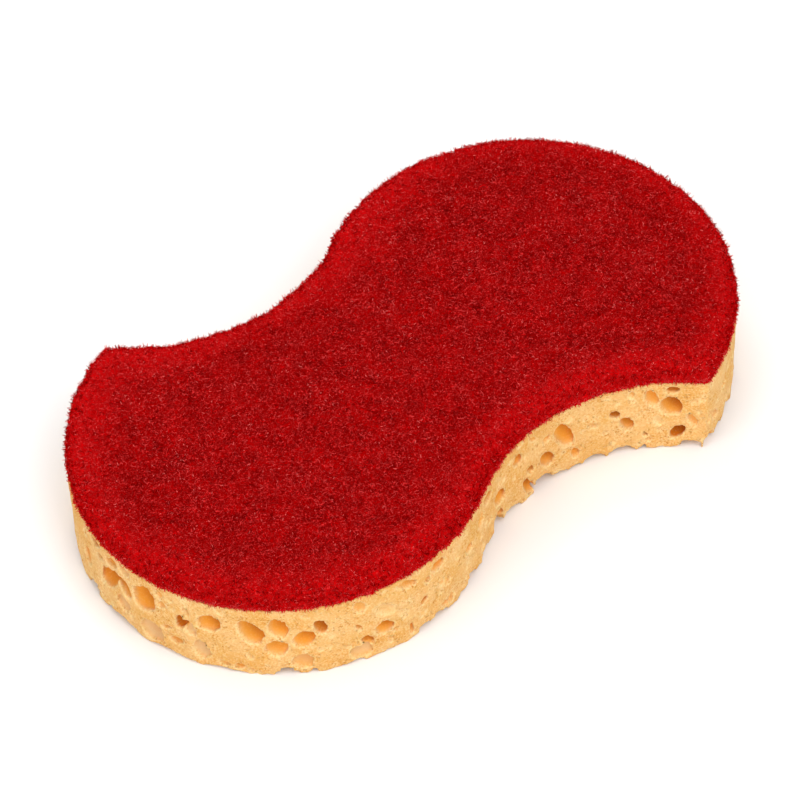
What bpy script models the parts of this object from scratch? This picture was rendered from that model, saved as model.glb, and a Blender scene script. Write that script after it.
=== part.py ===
"""A scrub sponge: an S-shaped block of cellulose sponge with a scouring pad bonded on top of it.

Metres, +Z up. The origin is the middle of the S, at the height of its base. The outline is the
same after half a turn about Z, so one half of it is drawn, and the other half is that one turned.
"""

import math
import random

import bmesh
import bpy
from mathutils import Matrix, Vector

# Outline, seen from above
LOBE_OFFSET = 0.032  # middle of the S to the centre of each round lobe
LOBE_RADIUS = 0.043
HORN_RADIUS = 0.0462  # flatter arc from the nose of a lobe to its horn
HORN_ARC_START = math.radians(-31)  # bearing from the lobe's centre where that arc begins
GRIP_RADIUS = 0.0412  # hollow side, where the fingers go
GRIP_BEARING = math.radians(124)  # from the lobe's centre to the centre of the hollow side
HORN_TIP_RADIUS = 0.0009
LEAST_TIP_RADIUS = 0.0004  # where the pad's pressed edge sharpens the tip
GRIP_STEPS = 18  # straight runs that stand for each arc
LOBE_STEPS = 32
HORN_STEPS = 18
TIP_STEPS = 3

# Thicknesses
SPONGE_THICKNESS = 0.0194
GLUE_LINE = 0.0003  # gap between the two pieces
PAD_THICKNESS = 0.0056
PAD_SHOULDER_RADIUS = 0.0024  # where the cutting die has pressed the pad's upper edge round
PAD_SHOULDER_STEPS = 4

# Pores
MOUTH_SINK = 0.35  # a pore's middle lies this share of its inner radius behind the surface
PORE_MESH = (9, 6)  # segments and rings of a cutter
FINE_PORE_MESH = (7, 5)
FINE_PORE_WIDTH = 0.0027  # narrower pores get the coarser cutter
BACK_PORE_COUNT = 32
BASE_PORE_COUNT = 46
PORE_WIDTHS = (0.0022, 0.0056)
PORE_SLENDERNESS = (0.75, 1.25)  # height over width
PORE_DEPTH_SHARE = (0.45, 0.8)  # depth over width
PORE_RIB = 0.0022  # least wall between two scattered pores
BASE_REST_RADIUS = 0.009  # whole patch left in the middle of the base
BASE_RIM = 0.006  # base pores keep this far inside the outline
SCATTER_SEED = 4
SCATTER_TRIES = 4000

# Pores that show on the near wall. Each row is a distance along the wall from the right-hand
# horn, the height of the middle, the mouth's width, height and depth, and its lean in degrees.
NEAR_PORES = (
    (0.0056, 0.0046, 0.0026, 0.0037, 0.0034, -30),
    (0.0067, 0.0126, 0.0045, 0.0052, 0.0036, 35),
    (0.0066, 0.0174, 0.0027, 0.0014, 0.0014, 5),
    (0.0109, 0.0155, 0.0026, 0.0039, 0.0012, 10),
    (0.0160, 0.0089, 0.0027, 0.0041, 0.0020, 20),
    (0.0168, 0.0002, 0.0044, 0.0030, 0.0026, 0),
    (0.0185, 0.0124, 0.0027, 0.0023, 0.0020, 25),
    (0.0228, 0.0001, 0.0046, 0.0032, 0.0022, 0),
    (0.0301, 0.0116, 0.0039, 0.0060, 0.0020, 25),
    (0.0347, 0.0078, 0.0038, 0.0041, 0.0022, 30),
    (0.0358, 0.0006, 0.0042, 0.0058, 0.0030, 0),
    (0.0400, 0.0038, 0.0027, 0.0042, 0.0026, 30),
    (0.0433, 0.0146, 0.0029, 0.0026, 0.0012, 25),
    (0.0499, 0.0096, 0.0052, 0.0032, 0.0026, -30),
    (0.0501, 0.0043, 0.0034, 0.0021, 0.0022, -35),
    (0.0576, 0.0004, 0.0046, 0.0044, 0.0028, 0),
    (0.0557, 0.0159, 0.0041, 0.0018, 0.0018, -25),
    (0.0644, 0.0006, 0.0034, 0.0042, 0.0026, 0),
    (0.0767, 0.0166, 0.0036, 0.0023, 0.0018, 5),
    (0.0800, 0.0004, 0.0034, 0.0032, 0.0028, 0),
    (0.0848, 0.0173, 0.0046, 0.0017, 0.0012, -20),
    (0.0902, 0.0075, 0.0044, 0.0032, 0.0024, 0),
    (0.0940, 0.0057, 0.0019, 0.0027, 0.0016, 45),
    (0.0956, 0.0020, 0.0057, 0.0040, 0.0016, -35),
    (0.1034, 0.0136, 0.0030, 0.0038, 0.0028, 15),
    (0.1070, 0.0105, 0.0047, 0.0037, 0.0020, -40),
    (0.1068, 0.0034, 0.0046, 0.0046, 0.0018, 35),
    (0.1104, 0.0002, 0.0032, 0.0042, 0.0030, 0),
    (0.1120, 0.0087, 0.0050, 0.0034, 0.0016, -30),
    (0.1121, 0.0146, 0.0039, 0.0060, 0.0026, 35),
    (0.1170, 0.0129, 0.0045, 0.0075, 0.0030, 15),
    (0.1258, 0.0133, 0.0049, 0.0043, 0.0028, -35),
    (0.1279, 0.0048, 0.0035, 0.0044, 0.0018, 5),
    (0.1300, 0.0103, 0.0023, 0.0038, 0.0013, 15),
    (0.1322, 0.0111, 0.0015, 0.0034, 0.0024, -10),
    (0.1391, 0.0037, 0.0060, 0.0052, 0.0024, -35),
    (0.1409, 0.0129, 0.0057, 0.0070, 0.0032, 15),
    (0.1459, 0.0122, 0.0028, 0.0035, 0.0022, 15),
    (0.1472, 0.0063, 0.0035, 0.0038, 0.0012, 15),
    (0.1509, 0.0114, 0.0039, 0.0082, 0.0034, -45),
    (0.1494, 0.0166, 0.0022, 0.0013, 0.0012, 30),
    (0.1557, 0.0172, 0.0030, 0.0018, 0.0016, 15),
    (0.1600, 0.0088, 0.0030, 0.0040, 0.0018, 0),
    (0.1680, 0.0050, 0.0044, 0.0038, 0.0024, 0),
    (0.1710, 0.0132, 0.0036, 0.0046, 0.0022, 0),
    (0.1800, 0.0094, 0.0046, 0.0038, 0.0026, 0),
    (0.1895, 0.0140, 0.0034, 0.0040, 0.0022, 0),
    (0.1930, 0.0050, 0.0040, 0.0046, 0.0026, 0),
)

# Finishes
SPONGE_COLOUR = (0.90, 0.58, 0.24, 1.0)
PAD_COLOUR = (0.42, 0.006, 0.008, 1.0)


def bearing(angle):
    """The level unit vector at this angle from +X."""
    return Vector((math.cos(angle), math.sin(angle)))


def angle_of(vector):
    return math.atan2(vector.y, vector.x)


def circles_meet(first, first_radius, second, second_radius):
    """The point furthest along +X where two circles cross."""
    span = second - first
    distance = span.length
    along = (first_radius**2 - second_radius**2 + distance**2) / (2 * distance)
    aside = math.sqrt(first_radius**2 - along**2)
    unit = span / distance
    across = Vector((-unit.y, unit.x))
    crossings = (first + unit * along + across * aside, first + unit * along - across * aside)
    return max(crossings, key=lambda point: point.x)


def turning(angle, start, way):
    """The same direction as this angle, reached from the start by turning one way, +1 or -1."""
    return start + way * ((way * (angle - start)) % math.tau)


def arc(centre, radius, start, end, count):
    """Points along an arc from the start angle towards the end angle, which is left out."""
    angles = [start + (end - start) * index / count for index in range(count)]
    return [centre + bearing(angle) * radius for angle in angles]


def outline(inset=0.0):
    """The S, clockwise from above, from where the right-hand horn's tip meets the near hollow.

    The near hollow touches the left lobe from outside, the lobe runs on into the flatter horn
    arc, and a small circle rounds the tip between that arc and the far hollow. Every inset gives
    as many points, so two outlines can be joined point by point.
    """
    lobe = Vector((-LOBE_OFFSET, 0.0))
    hollow = lobe + bearing(GRIP_BEARING + math.pi) * (LOBE_RADIUS + GRIP_RADIUS)
    nose = HORN_ARC_START + math.pi
    horn = lobe + bearing(nose) * (LOBE_RADIUS - HORN_RADIUS)
    tip_radius = max(HORN_TIP_RADIUS - inset, LEAST_TIP_RADIUS)
    lobe_radius, horn_radius, grip_radius = LOBE_RADIUS - inset, HORN_RADIUS - inset, GRIP_RADIUS + inset
    right_tip = circles_meet(-horn, horn_radius - tip_radius, hollow, grip_radius + tip_radius)
    left_tip = -right_tip

    hollow_start = angle_of(right_tip - hollow)
    hollow_end = turning(angle_of(lobe - hollow), hollow_start, 1)
    lobe_start = angle_of(hollow - lobe)
    lobe_end = turning(nose, lobe_start, -1)
    horn_end = turning(angle_of(left_tip - horn), lobe_end, -1)
    tip_end = turning(angle_of(-hollow - left_tip), horn_end, -1)

    half = arc(hollow, grip_radius, hollow_start, hollow_end, GRIP_STEPS)
    half += arc(lobe, lobe_radius, lobe_start, lobe_end, LOBE_STEPS)
    half += arc(horn, horn_radius, lobe_end, horn_end, HORN_STEPS)
    half += arc(left_tip, tip_radius, horn_end, tip_end, TIP_STEPS)
    return half + [-point for point in half]


class Wall:
    """The block's side face as a band: a distance along it gives a place and a way out."""

    def __init__(self, points):
        self.points = points + points[:1]
        runs = [(b - a).length for a, b in zip(self.points, self.points[1:])]
        self.marks = [sum(runs[:index]) for index in range(len(runs) + 1)]
        self.length = self.marks[-1]

    def at(self, distance):
        """(place on the wall, outward direction) at a distance from the right-hand horn."""
        distance %= self.length
        index = max(i for i, mark in enumerate(self.marks[:-1]) if mark <= distance)
        run = self.points[index + 1] - self.points[index]
        place = self.points[index] + run.normalized() * (distance - self.marks[index])
        return place, Vector((-run.y, run.x)).normalized()


def material(name, colour, roughness):
    """A plain dull finish."""
    finish = bpy.data.materials.new(name)
    finish.use_nodes = True
    shader = finish.node_tree.nodes["Principled BSDF"]
    shader.inputs["Base Color"].default_value = colour
    shader.inputs["Roughness"].default_value = roughness
    shader.inputs["Metallic"].default_value = 0.0
    return finish


def add_object(name, mesh, finish=None):
    """A scene object for this bmesh, which is freed."""
    bmesh.ops.recalc_face_normals(mesh, faces=mesh.faces)
    data = bpy.data.meshes.new(name)
    mesh.to_mesh(data)
    mesh.free()
    made = bpy.data.objects.new(name, data)
    bpy.context.scene.collection.objects.link(made)
    if finish:
        data.materials.append(finish)
    return made


def stacked(rings):
    """A closed bmesh that joins outlines at rising heights, from (points, height) pairs."""
    mesh = bmesh.new()
    loops = [[mesh.verts.new((point.x, point.y, height)) for point in points] for points, height in rings]
    for lower, upper in zip(loops, loops[1:]):
        for index in range(len(lower)):
            mesh.faces.new((lower[index - 1], lower[index], upper[index], upper[index - 1]))
    mesh.faces.new(loops[0])
    mesh.faces.new(loops[-1])
    return mesh


def pore_cutter(place, out, width, height, depth, lean, collection):
    """An ellipsoid that leaves a mouth of this width and height, and a pit of this depth.

    Its middle is sunk behind the surface, so the pit is wider inside than at its mouth.
    """
    inner_depth = depth / (1 + MOUTH_SINK)
    widening = 1 / math.sqrt(1 - MOUTH_SINK**2)
    segments, rings = FINE_PORE_MESH if width < FINE_PORE_WIDTH else PORE_MESH
    side = Vector((0, 0, 1)).cross(out) if abs(out.z) < 0.5 else Vector((1, 0, 0))
    up = out.cross(side)
    turn = Matrix((side, up, out)).transposed().to_4x4()
    size = Matrix.Diagonal((width / 2 * widening, height / 2 * widening, inner_depth, 1))
    middle = Matrix.Translation(place - out * inner_depth * MOUTH_SINK)
    mesh = bmesh.new()
    bmesh.ops.create_uvsphere(
        mesh,
        u_segments=segments,
        v_segments=rings,
        radius=1,
        matrix=middle @ turn @ Matrix.Rotation(lean, 4, "Z") @ size,
    )
    cutter = add_object("pore_cutter", mesh)
    cutter.hide_render = True
    cutter.display_type = "WIRE"
    bpy.context.scene.collection.objects.unlink(cutter)
    collection.objects.link(cutter)


def scattered_size(chance):
    """(width, height, depth) of a pore drawn at random, with more small ones than large."""
    narrow, wide = PORE_WIDTHS
    width = narrow + (wide - narrow) * chance.random() ** 2
    return width, width * chance.uniform(*PORE_SLENDERNESS), width * chance.uniform(*PORE_DEPTH_SHARE)


def clear_of(others, place, width):
    """True if a pore here leaves a rib between itself and each of the others."""
    return all(
        (place - other).length > (width + other_width) / 2 + PORE_RIB for other, other_width in others
    )


def cut_near_pores(wall, collection):
    """The pores that the list places along the near wall."""
    for along, height, width, tall, depth, lean in NEAR_PORES:
        place, out = wall.at(along)
        middle = Vector((place.x, place.y, height))
        pore_cutter(middle, Vector((out.x, out.y, 0)), width, tall, depth, math.radians(lean), collection)


def cut_back_pores(wall, collection, chance):
    """Pores scattered over the half of the wall that the list doesn't reach."""
    made = []
    for _ in range(SCATTER_TRIES):
        if len(made) == BACK_PORE_COUNT:
            return
        width, tall, depth = scattered_size(chance)
        along = chance.uniform(wall.length / 2 + width, wall.length - width)
        spot = Vector((along, chance.uniform(0, SPONGE_THICKNESS - tall / 2 - PORE_RIB / 2)))
        if not clear_of(made, spot, max(width, tall)):
            continue
        made.append((spot, max(width, tall)))
        place, out = wall.at(along)
        middle = Vector((place.x, place.y, spot.y))
        pore_cutter(middle, Vector((out.x, out.y, 0)), width, tall, depth, 0.0, collection)


def cut_base_pores(wall, collection, chance):
    """Pores scattered over the base, clear of its rim and of a whole patch in the middle."""
    made = [(Vector((0, 0)), 2 * BASE_REST_RADIUS)]
    reach = LOBE_OFFSET + LOBE_RADIUS
    for _ in range(SCATTER_TRIES):
        if len(made) > BASE_PORE_COUNT:
            return
        width, tall, depth = scattered_size(chance)
        spot = Vector((chance.uniform(-reach, reach), chance.uniform(-LOBE_RADIUS, LOBE_RADIUS)))
        if inside_by(wall, spot) < BASE_RIM or not clear_of(made, spot, max(width, tall)):
            continue
        made.append((spot, max(width, tall)))
        down = Vector((0, 0, -1))
        pore_cutter(spot.to_3d(), down, width, tall, depth, chance.uniform(0, math.pi), collection)


def inside_by(wall, spot):
    """How far inside the outline a spot lies, or a negative number outside it."""
    nearest = min(range(len(wall.points) - 1), key=lambda i: (wall.points[i] - spot).length)
    place = wall.points[nearest]
    run = wall.points[nearest + 1] - wall.points[nearest - 1 if nearest else -2]
    out = Vector((-run.y, run.x)).normalized()
    return (place - spot).dot(out)


def make_sponge():
    """The sponge block, with its pores cut by one Boolean."""
    points = outline()
    mesh = stacked([(points, 0.0), (points, SPONGE_THICKNESS)])
    sponge = add_object("cellulose_sponge", mesh, material("cellulose", SPONGE_COLOUR, 0.85))
    pores = bpy.data.collections.new("pore_cutters")
    bpy.context.scene.collection.children.link(pores)
    wall = Wall(points)
    chance = random.Random(SCATTER_SEED)
    cut_near_pores(wall, pores)
    cut_back_pores(wall, pores, chance)
    cut_base_pores(wall, pores, chance)
    cut = sponge.modifiers.new("pores", "BOOLEAN")
    cut.operation = "DIFFERENCE"
    cut.operand_type = "COLLECTION"
    cut.collection = pores
    cut.solver = "EXACT"


def make_pad():
    """The scouring pad, die cut with the block, so it has the same outline and a pressed edge."""
    bottom = SPONGE_THICKNESS + GLUE_LINE
    shoulder = min(PAD_SHOULDER_RADIUS, PAD_THICKNESS / 2)
    rings = [(outline(), bottom)]
    for step in range(PAD_SHOULDER_STEPS + 1):
        angle = math.pi / 2 * step / PAD_SHOULDER_STEPS
        inset = shoulder * (1 - math.cos(angle))
        rings.append((outline(inset), bottom + PAD_THICKNESS - shoulder * (1 - math.sin(angle))))
    pad = add_object("scouring_pad", stacked(rings), material("scouring_fibre", PAD_COLOUR, 0.7))
    pad.data.shade_smooth()
    pad.data.set_sharp_from_angle(angle=math.radians(40))


def main():
    for leftover in list(bpy.data.objects):
        bpy.data.objects.remove(leftover)
    make_sponge()
    make_pad()


main()
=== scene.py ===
"""The looks of a scrub sponge: a pored cellulose block under a mat of crimped red fibres.

Metres, +Z up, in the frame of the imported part. Both soft bodies are worked out as solid fields,
that is as arrays of signed distances on a lattice, negative inside, and meshed from those. The
fibres of the scouring pad are thin tubes laid over its surface by walking along it.
"""

from __future__ import annotations

import logging
import math
import random
from dataclasses import dataclass
from enum import Enum
from typing import Any, Iterable, Sequence

import bmesh
import bpy
import numpy as np
from mathutils import Matrix, Vector
from numpy.typing import NDArray

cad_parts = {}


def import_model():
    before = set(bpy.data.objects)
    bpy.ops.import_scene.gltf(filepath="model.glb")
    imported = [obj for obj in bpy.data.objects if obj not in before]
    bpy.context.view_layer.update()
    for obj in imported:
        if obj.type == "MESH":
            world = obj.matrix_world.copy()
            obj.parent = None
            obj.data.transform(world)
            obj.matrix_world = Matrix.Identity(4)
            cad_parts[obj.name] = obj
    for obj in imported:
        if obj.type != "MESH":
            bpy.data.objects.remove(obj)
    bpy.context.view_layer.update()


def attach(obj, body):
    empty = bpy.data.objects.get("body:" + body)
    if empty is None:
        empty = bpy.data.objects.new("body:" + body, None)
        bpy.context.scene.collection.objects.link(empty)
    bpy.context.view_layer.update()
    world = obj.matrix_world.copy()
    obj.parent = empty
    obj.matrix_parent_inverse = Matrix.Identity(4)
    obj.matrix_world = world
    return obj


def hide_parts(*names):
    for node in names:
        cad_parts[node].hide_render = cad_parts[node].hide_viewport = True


LOG = logging.getLogger("scrub_sponge")
BODY = "root"

Floats = NDArray[np.float64]
Whole = NDArray[np.int64]


@dataclass(frozen=True)
class SOutline:
    """The S that both bodies are cut to, made of arcs that touch, and the same after half a turn."""

    lobe_offset: float = 0.032
    lobe_radius: float = 0.043
    horn_radius: float = 0.0462
    horn_arc_start: float = math.radians(-31)
    grip_radius: float = 0.0412
    grip_bearing: float = math.radians(124)
    tip_radius: float = 0.0009
    steps: tuple[int, int, int, int] = (18, 32, 18, 3)

    def points(self, fineness: int = 4) -> Floats:
        """The outline clockwise from above, from where the right-hand horn meets the near hollow.

        Each arc is centre + radius * (cos a, sin a) for evenly spaced angles a.

        Args:
            fineness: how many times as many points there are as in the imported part.

        Returns:
            An (n, 2) array of points.
        """
        lobe = np.array((-self.lobe_offset, 0.0))
        hollow = lobe + self._bearing(self.grip_bearing + math.pi) * (self.lobe_radius + self.grip_radius)
        nose = self.horn_arc_start + math.pi
        horn = lobe + self._bearing(nose) * (self.lobe_radius - self.horn_radius)
        right_tip = self._crossing(
            -horn, self.horn_radius - self.tip_radius, hollow, self.grip_radius + self.tip_radius
        )
        left_tip = -right_tip
        start = self._angle(right_tip - hollow)
        lobe_start = self._angle(hollow - lobe)
        horn_start = self._turned(nose, lobe_start, -1)
        horn_end = self._turned(self._angle(left_tip - horn), horn_start, -1)
        hollow_end = self._turned(self._angle(lobe - hollow), start, 1)
        tip_end = self._turned(self._angle(-hollow - left_tip), horn_end, -1)
        arcs = (
            (hollow, self.grip_radius, start, hollow_end),
            (lobe, self.lobe_radius, lobe_start, horn_start),
            (horn, self.horn_radius, horn_start, horn_end),
            (left_tip, self.tip_radius, horn_end, tip_end),
        )
        half = np.concatenate([self._arc(*arc, n * fineness) for arc, n in zip(arcs, self.steps)])
        return np.concatenate([half, -half])

    @staticmethod
    def _arc(centre: Floats, radius: float, start: float, end: float, steps: int) -> Floats:
        """Points along an arc from its start, without its end."""
        angles = np.linspace(start, end, steps, endpoint=False)
        return centre + radius * np.stack([np.cos(angles), np.sin(angles)], axis=1)

    @staticmethod
    def _bearing(angle: float) -> Floats:
        """The unit vector at this angle from +X."""
        return np.array((math.cos(angle), math.sin(angle)))

    @staticmethod
    def _angle(vector: Floats) -> float:
        """The angle of a vector from +X."""
        return math.atan2(vector[1], vector[0])

    @staticmethod
    def _turned(angle: float, start: float, way: int) -> float:
        """The same direction as the angle, reached from the start by turning one way, +1 or -1."""
        return start + way * ((way * (angle - start)) % math.tau)

    @staticmethod
    def _crossing(first: Floats, first_radius: float, second: Floats, second_radius: float) -> Floats:
        """The point furthest along +X where two circles cross.

        Args:
            first: one circle's centre.
            first_radius: its radius.
            second: the other's centre.
            second_radius: its radius.

        Returns:
            The point.
        """
        span = second - first
        distance = float(np.hypot(*span))
        along = (first_radius**2 - second_radius**2 + distance**2) / (2 * distance)
        aside = math.sqrt(first_radius**2 - along**2)
        unit = span / distance
        across = np.array((-unit[1], unit[0]))
        return max((first + unit * along + way * across * aside for way in (1, -1)), key=lambda p: p[0])


class Wall:
    """The block's side face as a band, with a distance along it from the right-hand horn."""

    def __init__(self, points: Floats) -> None:
        """Measures the closed run through the outline's points."""
        self.points = np.concatenate([points, points[:1]])
        self.marks = np.concatenate([[0.0], np.cumsum(np.hypot(*np.diff(self.points, axis=0).T))])
        self.length = float(self.marks[-1])

    def at(self, along: Floats) -> tuple[Floats, Floats]:
        """Places on the wall and the ways out of it.

        Args:
            along: distances from the right-hand horn, clockwise from above.

        Returns:
            An (n, 2) array of places and one of outward unit vectors.
        """
        along = np.atleast_1d(along) % self.length
        index = np.clip(np.searchsorted(self.marks, along, side="right") - 1, 0, len(self.marks) - 2)
        run = self.points[index + 1] - self.points[index]
        run /= np.hypot(*run.T)[:, None]
        place = self.points[index] + run * (along - self.marks[index])[:, None]
        return place, np.stack([-run[:, 1], run[:, 0]], axis=1)

    def spot(self, along: float, height: float) -> tuple[tuple[float, ...], tuple[float, ...]]:
        """One place on the wall at this height, and the way out of it."""
        place, out = self.at(np.array([along]))
        return (*place[0], height), (*out[0], 0.0)

    def inside_by(self, x: float, y: float) -> float:
        """How far inside the outline a place lies, measured square to it at its nearest point.

        Args:
            x: the place's first coordinate.
            y: the place's second coordinate.

        Returns:
            The distance, below 0 for a place outside.
        """
        nearest = int(np.argmin(np.hypot(*(self.points[:-1] - (x, y)).T)))
        run = self.points[nearest + 1] - self.points[nearest - 1 if nearest else -2]
        out = np.array((-run[1], run[0])) / np.hypot(*run)
        return float((self.points[nearest] - (x, y)) @ out)


@dataclass(frozen=True)
class Noise:
    """Smooth noise: how far it goes either way, about how big its features are, and its seed."""

    amount: float
    grain: float
    seed: int


class Lattice:
    """Evenly spaced points round an outline, on which a body's field is held as a 3-D array."""

    def __init__(
        self, outline: Floats, margin: float, bottom: float, top: float, spacing: float, kind: type = float
    ) -> None:
        """Sets out the points and works out the signed distances to the outline, negative inside.

        Args:
            outline: the outline's (n, 2) points in order.
            margin: how far the lattice reaches past it.
            bottom: the lattice's lowest height.
            top: the height that it reaches.
            spacing: the distance between its points.
            kind: the type of number that the distances are kept as.
        """
        reach = np.abs(outline).max(axis=0) + margin
        self.low, high = np.array((*-reach, bottom)), np.array((*reach, top))
        self.spacing = spacing
        self.shape = tuple(int(n) for n in np.ceil((high - self.low) / spacing).astype(int) + 1)
        self.axes = [self.low[i] + spacing * np.arange(self.shape[i]) for i in range(3)]
        self.flat = self._distances(outline).astype(kind)

    def around(self, centre: Floats, reach: float) -> tuple[slice, slice, slice]:
        """The part of the lattice near a point.

        Args:
            centre: the point.
            reach: how far the part goes from it along each axis.

        Returns:
            One slice for each axis.
        """
        first = np.floor((centre - reach - self.low) / self.spacing).astype(int)
        last = np.ceil((centre + reach - self.low) / self.spacing).astype(int) + 1
        first, last = np.clip(first, 0, self.shape), np.clip(last, 0, self.shape)
        return tuple(slice(int(a), int(b)) for a, b in zip(first, last))

    def sample(self, values: Floats, points: Floats) -> Floats:
        """The field at points between the lattice's own, weighted by nearness along each axis.

        Args:
            values: an array over the lattice, with two axes for a field that is the same all the
                way up.
            points: an (n, 3) array.

        Returns:
            An (n,) array.
        """
        count = values.ndim
        at = (points[:, :count] - self.low[:count]) / self.spacing
        cell = np.clip(np.floor(at).astype(int), 0, np.array(values.shape) - 2)
        share = np.clip(at - cell, 0, 1)
        total = np.zeros(len(points))
        for corner in np.ndindex(*(2,) * count):
            weight = np.prod(np.where(corner, share, 1 - share), axis=1)
            total += weight * values[tuple((cell + corner).T)]
        return total

    def _distances(self, points: Floats) -> Floats:
        """Signed distances to a closed outline over the lattice's floor, negative inside.

        For each side of the outline, the distance is that to the nearest point on it, and a point
        is inside if a line from it towards +X crosses an odd number of sides.

        Args:
            points: the outline's points.

        Returns:
            A 2-D array.
        """
        x, y = np.meshgrid(self.axes[0], self.axes[1], indexing="ij")
        nearest = np.full(x.shape, np.inf)
        inside = np.zeros(x.shape, bool)
        for (ax, ay), (bx, by) in zip(points, np.roll(points, -1, axis=0)):
            run_x, run_y = bx - ax, by - ay
            share = np.clip(((x - ax) * run_x + (y - ay) * run_y) / (run_x**2 + run_y**2), 0, 1)
            nearest = np.minimum(nearest, (x - ax - share * run_x) ** 2 + (y - ay - share * run_y) ** 2)
            if ay != by:
                inside ^= ((ay > y) != (by > y)) & (x < ax + (y - ay) / run_y * run_x)
        return np.where(inside, -1, 1) * np.sqrt(nearest)

    def noise(self, *kinds: Noise) -> NDArray[np.float32]:
        """Noises over the lattice, added up.

        Random values from -1 to 1 on a coarse lattice are blended along each axis in turn, with
        weights that rise as 3 t^2 - 2 t^3 from one coarse point to the next.

        Args:
            kinds: the noises.

        Returns:
            An array over the lattice.
        """
        total = np.zeros(self.shape, np.float32)
        for kind in kinds:
            counts = [int(n * self.spacing / kind.grain) + 3 for n in self.shape]
            values = np.random.default_rng(kind.seed).uniform(-1, 1, counts).astype(np.float32)
            for axis in range(3):
                at = np.arange(self.shape[axis]) * self.spacing / kind.grain
                cell = at.astype(int)
                share = (at - cell).astype(np.float32)
                share = share * share * (3 - 2 * share)
                weights = np.zeros((self.shape[axis], counts[axis]), np.float32)
                weights[np.arange(len(at)), cell] = 1 - share
                weights[np.arange(len(at)), cell + 1] = share
                values = np.moveaxis(np.tensordot(weights, values, axes=(1, axis)), 0, axis)
            total = total + kind.amount * values
        return total

    def net(self, values: Floats, lid: float) -> tuple[Floats, Whole]:
        """A mesh of four-sided faces where the field is zero.

        Each lattice cell that the surface passes through gets one point, the mean of the places
        where its edges are crossed, and each crossed edge gets a face between the four cells
        around it. Faces that lie level at the lid's height are left out, for one lid to close.

        Args:
            values: the field, negative inside.
            lid: the height of the level top or bottom.

        Returns:
            An (n, 3) array of points and an (m, 4) array of their numbers.
        """
        inside = values < 0
        cells = tuple(n - 1 for n in self.shape)
        corners = np.array(list(np.ndindex(2, 2, 2)))
        crowd = np.zeros(cells, np.int8)
        for corner in corners:
            crowd += inside[tuple(slice(a, a + n) for a, n in zip(corner, cells))]
        found = np.argwhere((crowd > 0) & (crowd < 8))
        number = np.full(cells, -1, np.int64)
        number[tuple(found.T)] = np.arange(len(found))

        held = np.stack([values[tuple((found + corner).T)] for corner in corners], axis=1)
        total, crossings = np.zeros((len(found), 3)), np.zeros(len(found))
        pairs = ((a, b) for a in range(8) for b in range(a + 1, 8))
        for a, b in (pair for pair in pairs if abs(np.diff(corners[list(pair)], axis=0)).sum() == 1):
            crossed = (held[:, a] < 0) != (held[:, b] < 0)
            gap = held[:, a] - held[:, b]
            share = np.where(crossed, held[:, a] / np.where(crossed, gap, 1), 0)
            total += (corners[a] + share[:, None] * (corners[b] - corners[a])) * crossed[:, None]
            crossings += crossed
        points = self.low + (found + total / crossings[:, None]) * self.spacing
        level = int((lid - self.low[2]) / self.spacing)
        points[found[:, 2] == level, 2] = lid

        faces = []
        for axis in range(3):
            one, two = (axis + 1) % 3, (axis + 2) % 3
            here = np.moveaxis(inside, (axis, one, two), (0, 1, 2))
            around = np.moveaxis(number, (axis, one, two), (0, 1, 2))
            leaving = here[:-1, 1:-1, 1:-1] & ~here[1:, 1:-1, 1:-1]
            entering = ~here[:-1, 1:-1, 1:-1] & here[1:, 1:-1, 1:-1]
            if axis == 2:
                leaving[level] = entering[level] = False
            ring = [around[:, :-1, :-1], around[:, 1:, :-1], around[:, 1:, 1:], around[:, :-1, 1:]]
            faces.append(np.stack([side[leaving] for side in ring], axis=1))
            faces.append(np.stack([side[entering] for side in ring[::-1]], axis=1))
        return points, np.concatenate(faces)


def soft_max(first: Floats, second: Floats, reach: float) -> Floats:
    """The larger of two fields, rounded off where they differ by less than the reach."""
    near = np.clip(1 - np.abs(first - second) / reach, 0, None)
    return np.maximum(first, second) + near * near * reach / 4


class Wire:
    """A shader socket that Python's operators work on, each adding a Math node."""

    def __init__(self, graph: Graph, socket: Any) -> None:
        """Holds a socket of this graph."""
        self.graph = graph
        self.socket = socket

    def _math(self, operation: str, *values: Any) -> Wire:
        """A Math node with this operation on these values, in order."""
        return self.graph.node("ShaderNodeMath", {"operation": operation}, dict(enumerate(values)))

    def __add__(self, other: Wire | float) -> Wire:
        """This plus the other."""
        return self._math("ADD", self, other)

    __radd__ = __add__

    def __sub__(self, other: Wire | float) -> Wire:
        """This minus the other."""
        return self._math("SUBTRACT", self, other)

    def __rsub__(self, other: float) -> Wire:
        """The other minus this."""
        return self._math("SUBTRACT", other, self)

    def __mul__(self, other: Wire | float) -> Wire:
        """This times the other."""
        return self._math("MULTIPLY", self, other)

    __rmul__ = __mul__

    def __abs__(self) -> Wire:
        """This without its sign."""
        return self._math("ABSOLUTE", self)

    def larger(self, other: Wire | float) -> Wire:
        """The larger of this and the other."""
        return self._math("MAXIMUM", self, other)

    def rise(self, low: float, high: float) -> Wire:
        """From 0 at low to 1 at high, smoothly and held at both ends."""
        limits = {"Value": self, "From Min": low, "From Max": high}
        return self.graph.node("ShaderNodeMapRange", {"interpolation_type": "SMOOTHSTEP"}, limits)


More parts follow.
